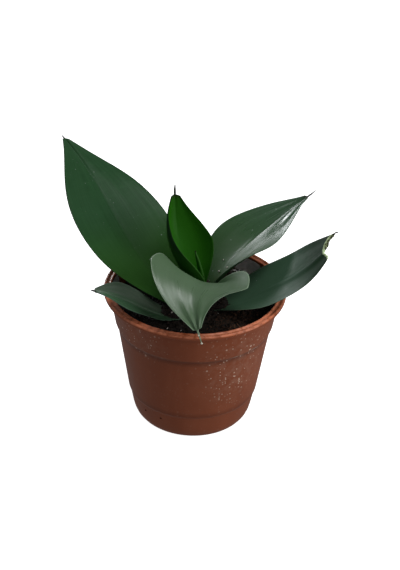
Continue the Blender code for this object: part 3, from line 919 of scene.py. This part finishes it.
def pot_shell(settings):
    """The turned shell, closed at the poles with one ring of faces, less the drain holes."""
    profile = spaced(rounded(pot_profile(settings)), 2.4 * MM)
    points = turned(profile, settings.sides)
    lean = 0.12 * MM * np.cos(2 * np.arctan2(points[..., 1], points[..., 0]) + 0.6)
    points[..., :2] *= 1 + (lean * points[..., 2] / settings.height / 0.05)[..., None]
    shell = add_closed("pot_shell", points, False)
    cutter = drain_cutter(settings)
    modifier = shell.modifiers.new("drain holes", "BOOLEAN")
    modifier.object = cutter
    modifier.operation = "DIFFERENCE"
    modifier.solver = "EXACT"
    graph = bpy.context.evaluated_depsgraph_get()
    mesh = bpy.data.meshes.new_from_object(shell.evaluated_get(graph))
    shell.modifiers.clear()
    shell.data = mesh
    bpy.data.objects.remove(cutter)
    mesh.shade_smooth()
    mesh.set_sharp_from_angle(angle=math.radians(50))
    return shell


# Chips on the pot's shoulder as (bearing in degrees, size in millimetres)
CHIPS = ((301, 2.4), (318.5, 2.8), (324, 1.2), (334, 1.6))
CHIP_RADIUS = 52.6 * MM

# The inner wall's radius grows by WALL_SLOPE with height. Crust stops between the inner and
# the outer wall, where the radius less that slope passes CRUST_STOP.
WALL_SLOPE = 0.1546
CRUST_STOP = (0.04095, 0.04070)


def pot_finish(settings, soil):
    """Satin moulded plastic, faded in patches and rubbed on its rings, with dried water spots in
    two clusters, a few chips on the shoulder, and mineral crust inside under the lip. The rubbed
    lip is also lighter as a painted highlight, and the body is darker just under the band's step
    and just above the foot's step as painted shade."""
    skin = Finish("nursery_plastic")
    flow = skin.noise(skin.moved(skin.place, scale=(1, 1, 0.25)), 60.0, 3.0, 0.55, 0.4)
    patch = skin.noise(skin.place, 26.0, 2.0, 0.5)
    fade = skin.span(flow, 0.35, 0.70, 0.0, 0.30)
    tone = skin.mix(fade, settings.colour, settings.worn_colour)
    patch = skin.span(patch, 0.40, 0.75, 0.0, 0.35)
    tone = skin.mix(patch, tone, scaled(settings.colour, 0.72))
    height = skin.height()
    rub = skin.noise(skin.place, 240.0, 3.0, 0.6)
    top, shoulder = settings.height, settings.height - BAND_DEPTH * MM
    lip = skin.span(height, top - 1.4 * MM, top - 0.3 * MM, 0.0, 0.9)
    # The lip's rubbed, lighter colour is partly real wear and partly a painted highlight.
    rubbed_and_highlight = skin.times(lip, skin.span(rub, 0.25, 0.6))
    tone = skin.mix(rubbed_and_highlight, tone, scaled(settings.worn_colour, 1.6))
    # Painted shade: the body darkens towards the band's step above it and towards the foot's step
    # below it.
    painted_recess_shade = skin.plus(
        skin.span(height, top - 30.0 * MM, top - 26.2 * MM, 0.0, 0.55),
        skin.span(height, 26.0 * MM, 21.5 * MM, 0.0, 0.40), True,
    )
    within = skin.times(skin.span(height, 19.8 * MM, 21.6 * MM),
                        skin.span(height, shoulder - 0.2 * MM, shoulder - 1.3 * MM))
    tone = skin.mix(skin.times(painted_recess_shade, within), tone, scaled(settings.colour, 0.42))
    right = skin.near((31 * MM, -43 * MM, 62 * MM), 0.008, 0.036, (1, 1, 0.8))
    left = skin.near((-37 * MM, -39 * MM, 80 * MM), 0.006, 0.030, (1, 1, 1.5))
    cluster = skin.most(right, skin.times(left, 0.9))
    cluster = skin.plus(cluster, 0.05)
    fine = skin.spots(skin.place, 560.0, 0.40, 1.7)
    coarse = skin.spots(skin.place, 330.0, 0.33, 8.3)
    specks = skin.most(skin.times(fine, 0.75), coarse)
    thin = skin.span(skin.noise(skin.place, 150.0, 1.0), 0.34, 0.50)
    specks = skin.times(specks, skin.times(cluster, thin))
    tone = skin.mix(skin.times(specks, 1.3, True), tone, settings.dust_colour)
    film = skin.times(cluster, skin.span(rub, 0.35, 0.8, 0.02, 0.16))
    tone = skin.mix(film, tone, settings.dust_colour)
    for turn, size in CHIPS:
        a = math.radians(turn)
        place = (CHIP_RADIUS * math.cos(a), CHIP_RADIUS * math.sin(a), shoulder - 0.8 * MM)
        chip = skin.near(place, size * 0.5 * MM, size * MM, (1, 1, 3.2))
        broken = skin.times(chip, skin.span(rub, 0.38, 0.60))
        tone = skin.mix(broken, tone, (0.62, 0.46, 0.36))
    crust = crust_share(skin)
    tone = skin.mix(crust, tone, soil.crust_colour)
    rough = skin.span(flow, 0.3, 0.7, 0.36, 0.50)
    rough = skin.math("SUBTRACT", rough, skin.times(lip, 0.22))
    rough = skin.plus(rough, skin.times(specks, 0.3))
    rough = skin.plus(rough, skin.times(crust, 0.4), True)
    fine_grain = skin.noise(skin.place, 1800.0, 2.0, 0.5)
    normal = skin.bump(flow, 0.00025, 0.35)
    normal = skin.bump(fine_grain, 0.00003, 0.5, normal)
    normal = skin.bump(specks, 0.00008, 0.6, normal)
    skin.set(
        Base_Color=tone, Roughness=rough, Normal=normal, IOR=1.49, Specular_IOR_Level=0.25,
    )
    return skin.material


def crust_share(skin):
    """Where pale mineral crust lies: two places at the wall, broken up by noise."""
    back = skin.near((36 * MM, 40 * MM, 90 * MM), 0.007, 0.017)
    left = skin.near((-53 * MM, 7 * MM, 90 * MM), 0.006, 0.015)
    both = skin.most(back, left)
    height = skin.height()
    both = skin.times(both, skin.span(height, 0.0950, 0.0935))
    flat = skin.moved(skin.place, scale=(1, 1, 0))
    radius = skin.add("VectorMath", {0: flat}, operation="LENGTH").outputs["Value"]
    lean = skin.math("SUBTRACT", radius, skin.times(height, WALL_SLOPE))
    both = skin.times(both, skin.span(lean, *CRUST_STOP))
    broken = skin.noise(skin.place, 190.0, 3.0, 0.6)
    ragged = skin.plus(both, skin.math("SUBTRACT", broken, 0.5))
    return skin.span(ragged, 0.36, 0.62)


class PLANT_OT_pot(bpy.types.Operator):
    """Make the nursery pot, with its ridged lip, band, stepped foot and drain holes"""

    bl_idname = "plant.pot"
    bl_label = "Pot"

    def execute(self, context):
        settings = context.scene.plant_pot
        piece = pot_shell(settings)
        give(piece, pot_finish(settings, context.scene.plant_soil))
        finish_piece(piece, "pot", "pot")
        return {"FINISHED"}


# ------------------------------------------------------------------ soil


def soil_height(x, y, settings):
    """Height of the soil's top: a low mound, two sizes of ripple, and a dip at the wall."""
    place = np.stack([x, y], axis=-1)
    radius = np.hypot(x, y)
    edge = SOIL_BOX[1].x
    level = SOIL_BOX[1].z - MOUND + MOUND * smoothstep(edge, edge - 8 * MM, radius)
    lumps = ripple(place, 11 * MM, 3) * 0.55 + ripple(place, 3.4 * MM, 4, 40) * 0.45
    grit = ripple(place, 1.3 * MM, 6, 48) * 0.28
    return level + settings.roughness * (lumps + grit - 0.35)


SOIL_SIDES = 320


def soil_body(settings):
    """Closed soil: rings from the middle of its top to the wall, down the wall in line with
    the pot, and in under the floor to the axis."""
    low, high = SOIL_BOX
    edge = float(high.x)
    radii = edge * np.linspace(0.0005, 1, 150)
    top = turned(np.stack([radii, 0 * radii], axis=-1), SOIL_SIDES)
    top[..., 2] = soil_height(top[..., 0], top[..., 1], settings)
    wall = [
        (edge - 2.0 * MM, high.z - 11 * MM), (edge - 4.0 * MM, high.z - 15 * MM),
        (edge - 11.0 * MM, 22 * MM), (edge - 12.6 * MM, 18.5 * MM),
        (edge - 14.6 * MM, 7 * MM), (edge - 20 * MM, low.z + 0.2 * MM), (0.02 * MM, low.z),
    ]
    side = turned(spaced(rounded([(r, z, 1.0 * MM) for r, z in wall]), 4 * MM), SOIL_SIDES)
    return add_closed("soil_body", np.concatenate([top, side]), True)


def icosahedron():
    """(points, faces) of a unit icosahedron: the corners of three golden rectangles."""
    g = (1 + math.sqrt(5)) / 2
    corners = [(0, a, b * g) for a in (-1, 1) for b in (-1, 1)]
    points = np.array([np.roll(c, k) for k in range(3) for c in corners])
    points /= np.linalg.norm(points[0])
    gaps = np.linalg.norm(points[:, None] - points[None], axis=-1)
    joined = (gaps > 0.1) & (gaps < 1.1)
    faces = [
        (i, j, k) if np.dot(np.cross(points[j] - points[i], points[k] - points[i]), points[i]) > 0
        else (i, k, j)
        for i in range(12) for j in range(i + 1, 12) for k in range(j + 1, 12)
        if joined[i, j] and joined[j, k] and joined[i, k]
    ]
    return points, np.array(faces)


def scattered(name, places, sizes, tones, seed, flat=0.65):
    """One mesh of small rough stones: an icosahedron at each place, with each corner pushed
    in or out, stretched, turned and scaled."""
    rng = np.random.default_rng(seed)
    shape, faces = icosahedron()
    count = len(places)
    corners = shape[None] * rng.uniform(0.65, 1.25, (count, 12, 1))
    corners = corners * rng.uniform(0.6, 1.2, (count, 1, 3)) * (1, 1, flat)
    turn = rng.uniform(0, 2 * np.pi, count)
    c, s = np.cos(turn)[:, None], np.sin(turn)[:, None]
    x = corners[..., 0] * c - corners[..., 1] * s
    y = corners[..., 0] * s + corners[..., 1] * c
    tilt = rng.uniform(-0.6, 0.6, (count, 1))
    z = corners[..., 2] * np.cos(tilt) + x * np.sin(tilt)
    points = np.stack([x, y, z], axis=-1) * np.asarray(sizes)[:, None, None]
    points = points + np.asarray(places)[:, None]
    index = faces[None] + 12 * np.arange(count)[:, None, None]
    values = {"tone": np.repeat(tones, 12)}
    return add_mesh(name, points.reshape(-1, 3), index.reshape(-1, 3), values, smooth=False)


def bark_strips(name, places, seed):
    """One mesh of thin bent strips: four sides carried along a short arc, five steps long."""
    rng = np.random.default_rng(seed)
    count, steps = len(places), 6
    turn = rng.uniform(0, 2 * np.pi, count)[:, None]
    length = rng.uniform(2.0, 6.5, count)[:, None] * MM
    wide = rng.uniform(0.15, 0.5, count)[:, None] * MM
    bend = rng.uniform(-0.6, 0.6, count)[:, None]
    t = np.linspace(-0.5, 0.5, steps)[None]
    a = turn + bend * t
    line = np.stack([np.cos(a) * t * length, np.sin(a) * t * length, 0 * a], axis=-1)
    line[..., 2] = 0.4 * MM + rng.uniform(-0.14, 0.14, count)[:, None] * t * length
    side = np.stack([-np.sin(a), np.cos(a), 0 * a], axis=-1) * wide[..., None]
    side = side * (1.15 - 1.6 * t**2)[..., None]
    up = np.array([0, 0, 0.12 * MM])
    ring = np.stack([line + side, line + up, line - side, line - up], axis=2)
    points = ring + np.asarray(places)[:, None, None]
    base = np.concatenate([ring_faces(steps, 4), [[3, 2, 1, 0]], [[20, 21, 22, 23]]])
    index = base[None] + 4 * steps * np.arange(count)[:, None, None]
    tones = np.repeat(rng.uniform(0.3, 1.0, count), 4 * steps)
    return add_mesh(name, points.reshape(-1, 3), index.reshape(-1, 4), {"tone": tones})


def on_soil(count, seed, settings, reach=0.985):
    """Random places on the soil's top, even over its area."""
    rng = np.random.default_rng(seed)
    radius = SOIL_BOX[1].x * reach * np.sqrt(rng.uniform(0, 1, count))
    turn = rng.uniform(0, 2 * np.pi, count)
    x, y = radius * np.cos(turn), radius * np.sin(turn)
    return np.stack([x, y, soil_height(x, y, settings)], axis=-1)


def soil_finish(settings, loose):
    """Damp peat: dark, with brown fibres and dry grains. Loose crumbs take their shade from
    their own tone."""
    skin = Finish("loose_peat" if loose else "packed_peat")
    clump = skin.noise(skin.place, 420.0, 4.0, 0.65)
    fibre = skin.noise(skin.moved(skin.place, scale=(1, 2.6, 1), rotation=(0, 0, 0.7)), 700.0, 3.0,
                       0.6, 1.5)
    damp, dry = settings.colour, settings.dry_colour
    tone = skin.mix(skin.span(clump, 0.42, 0.72), damp, scaled(dry, 0.5))
    tone = skin.mix(skin.span(fibre, 0.58, 0.72, 0.0, 0.7), tone, dry)
    dryness = skin.near((38 * MM, -30 * MM, 84 * MM), 0.010, 0.040)
    dryness = skin.most(dryness, skin.near((0, 45 * MM, 84 * MM), 0.010, 0.040))
    dryness = skin.most(dryness, 0.10)
    tone = skin.mix(dryness, damp, tone)
    if loose:
        own = skin.value("tone")
        share = skin.times(skin.span(own, 0.25, 1.0, 0.0, 0.9), dryness)
        tone = skin.mix(share, tone, dry)
    else:
        tone = skin.mix(crust_share(skin), tone, settings.crust_colour)
    normal = skin.bump(clump, 0.0007, 1.0)
    normal = skin.bump(fibre, 0.0003, 0.8, normal)
    skin.set(Base_Color=tone, Roughness=skin.span(clump, 0.3, 0.7, 0.75, 0.98), Normal=normal,
             Specular_IOR_Level=0.3)
    return skin.material


def grain_finish():
    """Porous white mineral grain, a little dirty in its pits."""
    skin = Finish("white_grain")
    pits = skin.noise(skin.place, 2400.0, 3.0, 0.6)
    tone = skin.mix(skin.span(pits, 0.35, 0.6), (0.42, 0.36, 0.30), (0.82, 0.79, 0.74))
    skin.set(Base_Color=tone, Roughness=0.85, Normal=skin.bump(pits, 0.0002, 0.8))
    return skin.material


class PLANT_OT_soil(bpy.types.Operator):
    """Make the packed soil that fills the pot"""

    bl_idname = "plant.soil"
    bl_label = "Soil"

    def execute(self, context):
        settings = context.scene.plant_soil
        piece = soil_body(settings)
        give(piece, soil_finish(settings, False))
        finish_piece(piece, "soil", "soil")
        return {"FINISHED"}


class PLANT_OT_crumbs(bpy.types.Operator):
    """Scatter crumbs, bark strips and white grains over the soil"""

    bl_idname = "plant.crumbs"
    bl_label = "Crumbs and grains"

    def execute(self, context):
        settings = context.scene.plant_soil
        rng = np.random.default_rng(21)
        places = on_soil(settings.crumbs, 22, settings)
        sizes = 0.35 * MM + 1.1 * MM * rng.uniform(0, 1, settings.crumbs) ** 3
        tones = rng.uniform(0, 1, settings.crumbs) ** 1.6
        crumbs = scattered("soil_crumbs", places, sizes, tones, 23)
        give(crumbs, soil_finish(settings, True))
        bark = bark_strips("soil_bark", on_soil(260, 24, settings, 0.95), 25)
        give(bark, crumbs.data.materials[0])
        white = on_soil(settings.grains, 26, settings, 0.97)
        white[0] = (35.5 * MM, -31.0 * MM, white[0][2])
        white[:, 2] = soil_height(white[:, 0], white[:, 1], settings) + 0.3 * MM
        sizes = rng.uniform(0.3, 0.75, len(white)) * MM
        sizes[0] = 0.95 * MM
        lodged = blade_point(
            LEAVES["leaf_right_back"], np.array([0.16, 0.20, 0.24]), np.array([0.1, -0.25, 0.2]),
            np.full(3, -0.4 * MM),
        )
        white = np.concatenate([white, lodged])
        sizes = np.concatenate([sizes, np.array([0.9, 0.7, 0.5]) * MM])
        grains = scattered("white_grains", white, sizes, np.ones(len(white)), 27, 0.9)
        grains.data.shade_smooth()
        give(grains, grain_finish())
        for piece in (crumbs, bark, grains):
            finish_piece(piece, "soil")
        return {"FINISHED"}


class PLANT_OT_rhizome(bpy.types.Operator):
    """Give the buried rhizome its fibrous skin"""

    bl_idname = "plant.rhizome"
    bl_label = "Rhizome"

    def execute(self, context):
        skin = Finish("rhizome_skin")
        rings = skin.noise(skin.moved(skin.place, scale=(1, 1, 4)), 160.0, 3.0, 0.6)
        tone = skin.mix(rings, (0.36, 0.22, 0.10), (0.62, 0.46, 0.26))
        skin.set(Base_Color=tone, Roughness=0.7, Normal=skin.bump(rings, 0.0004, 0.7))
        give(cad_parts["rhizome"], skin.material)
        return {"FINISHED"}


# ------------------------------------------------------------------ stage


# Lights as name, compass angle from +X and height angle in degrees, distance, width and height
# in metres, power in watts, and colour. They all face the pot's lip.
LIGHTS = (
    ("overhead", 48, 69, 1.2, (0.48, 0.48), 4.4, (0.98, 0.99, 1.0)),
    ("top", -25, 77, 1.2, (0.22, 0.22), 1.1, (0.98, 0.99, 1.0)),
    ("right", -22, 26, 1.2, (0.7, 0.7), 6.2, (1.0, 0.99, 0.97)),
    ("window", 116, 17, 1.6, (0.36, 0.30), 4.6, (0.95, 0.98, 1.0)),
)
FLOOR_EDGE = 4.0
BACKDROP_RADIUS = 3.9
BACKDROP_SIDES = 48
WORLD_COLOUR = (0.95, 0.98, 1.0, 1)
WORLD_STRENGTH = 0.22

# How far the camera is turned and tilted away from the middle of the lip
CAMERA_TURN = math.radians(0.2377)
CAMERA_TILT = math.radians(-0.0644)


def area_light(name, centre, turn, rise, distance, size, power, colour):
    """Soft rectangular light that faces the centre."""
    a, e = math.radians(turn), math.radians(rise)
    away = Vector((math.cos(e) * math.cos(a), math.cos(e) * math.sin(a), math.sin(e)))
    data = bpy.data.lights.new(name, "AREA")
    data.shape = "RECTANGLE"
    data.size, data.size_y = size
    data.energy = power
    data.color = colour
    light = bpy.data.objects.new(name, data)
    facing = away.to_track_quat("Z", "Y")
    light.matrix_world = Matrix.LocRotScale(centre + away * distance, facing, None)
    bpy.context.scene.collection.objects.link(light)


def camera_matrix(settings, target):
    """World matrix of a camera that looks down at the target by elevation, set back by
    distance, turned a hair aside, and leant by roll."""
    e = settings.elevation
    aim = Matrix.Rotation(e - math.pi / 2, 3, "X")
    turn = Matrix.Rotation(CAMERA_TURN, 3, "Y")
    tilt = Matrix.Rotation(CAMERA_TILT, 3, "X")
    lean = Matrix.Rotation(settings.roll, 3, "Z")
    facing = (lean @ tilt @ turn @ aim).transposed().to_quaternion()
    back = Vector((0, -math.cos(e), math.sin(e))) * settings.distance
    return Matrix.LocRotScale(target + back, facing, None)


class PLANT_OT_stage(bpy.types.Operator):
    """Make the floor, the soft studio light and the camera"""

    bl_idname = "plant.stage"
    bl_label = "Stage"

    def execute(self, context):
        scene = context.scene
        settings = scene.plant_stage
        target = Vector((0, 0, POT_BOX[1].z))
        data = bpy.data.cameras.new("camera")
        data.sensor_width = 36
        data.lens = settings.lens
        camera = bpy.data.objects.new("camera", data)
        scene.collection.objects.link(camera)
        camera.matrix_world = camera_matrix(settings, target)
        scene.camera = camera
        scene.view_settings.view_transform = "Standard"

        corners = np.array([(-1, -1, 0), (1, -1, 0), (1, 1, 0), (-1, 1, 0)]) * FLOOR_EDGE
        floor = add_mesh("floor", corners - (0, 0, 0.2 * MM), np.array([[0, 1, 2, 3]]))
        paint = Finish("floor_paint")
        grain = paint.noise(paint.place, 3.0, 2.0)
        shade = settings.floor
        paint.set(
            Base_Color=paint.mix(grain, (shade,) * 3, (min(1.0, shade * 1.02),) * 3),
            Roughness=0.9, Specular_IOR_Level=0.1,
            Emission_Color=(1, 1, 1, 1), Emission_Strength=0.95,
        )
        give(floor, paint.material)
        floor.visible_diffuse = False
        floor.visible_glossy = False

        rise = np.radians(np.linspace(0, 90, 13))[:-1]
        arc = np.stack([np.cos(rise), np.sin(rise)], axis=-1) * BACKDROP_RADIUS
        dome = turned(arc, BACKDROP_SIDES)
        rows, columns = dome.shape[:2]
        points = np.concatenate([dome.reshape(-1, 3), [(0, 0, BACKDROP_RADIUS)]])
        cap = close_row((rows - 1) * columns, columns, rows * columns)
        backdrop = add_mesh("backdrop", points, np.concatenate([ring_faces(rows, columns), cap]))
        give(backdrop, paint.material)
        backdrop.visible_diffuse = False
        backdrop.visible_glossy = False
        backdrop.visible_shadow = False

        world = bpy.data.worlds.new("studio")
        world.use_nodes = True
        background = world.node_tree.nodes["Background"].inputs
        background["Color"].default_value = WORLD_COLOUR
        background["Strength"].default_value = WORLD_STRENGTH * settings.light
        scene.world = world
        for name, turn, rise, distance, size, power, colour in LIGHTS:
            power = power * settings.light
            area_light(name, target, turn, rise, distance, size, power, colour)
        return {"FINISHED"}


# ------------------------------------------------------------------ panel


class PLANT_PT_panel(bpy.types.Panel):
    """Lists the settings and the steps"""

    bl_label = "Potted Snake Plant"
    bl_idname = "PLANT_PT_panel"
    bl_space_type = "VIEW_3D"
    bl_region_type = "UI"
    bl_category = "Plant"

    def draw(self, context):
        for group, steps in PANEL_ROWS:
            box = self.layout.box()
            settings = getattr(context.scene, group)
            for key in settings.bl_rna.properties.keys():
                if key not in {"rna_type", "name"}:
                    box.prop(settings, key)
            for step in steps:
                box.operator(step)


PANEL_ROWS = (
    ("plant_pot", ("plant.pot",)),
    ("plant_soil", ("plant.soil", "plant.crumbs", "plant.rhizome")),
    ("plant_leaves", ("plant.leaves",)),
    ("plant_stage", ("plant.stage",)),
)
SETTINGS = {
    "plant_pot": PotSettings,
    "plant_soil": SoilSettings,
    "plant_leaves": LeafSettings,
    "plant_stage": StageSettings,
}
CLASSES = (
    *SETTINGS.values(),
    PLANT_OT_pot,
    PLANT_OT_soil,
    PLANT_OT_crumbs,
    PLANT_OT_rhizome,
    PLANT_OT_leaves,
    PLANT_OT_stage,
    PLANT_PT_panel,
)


def register():
    for cls in CLASSES:
        bpy.utils.register_class(cls)
    for name, group in SETTINGS.items():
        setattr(bpy.types.Scene, name, PointerProperty(type=group))


def unregister():
    for name in SETTINGS:
        delattr(bpy.types.Scene, name)
    for cls in reversed(CLASSES):
        bpy.utils.unregister_class(cls)


def main():
    register()
    bpy.ops.plant.stage()
    bpy.ops.plant.pot()
    bpy.ops.plant.soil()
    bpy.ops.plant.crumbs()
    bpy.ops.plant.rhizome()
    bpy.ops.plant.leaves()


if __name__ == "__main__":
    main()
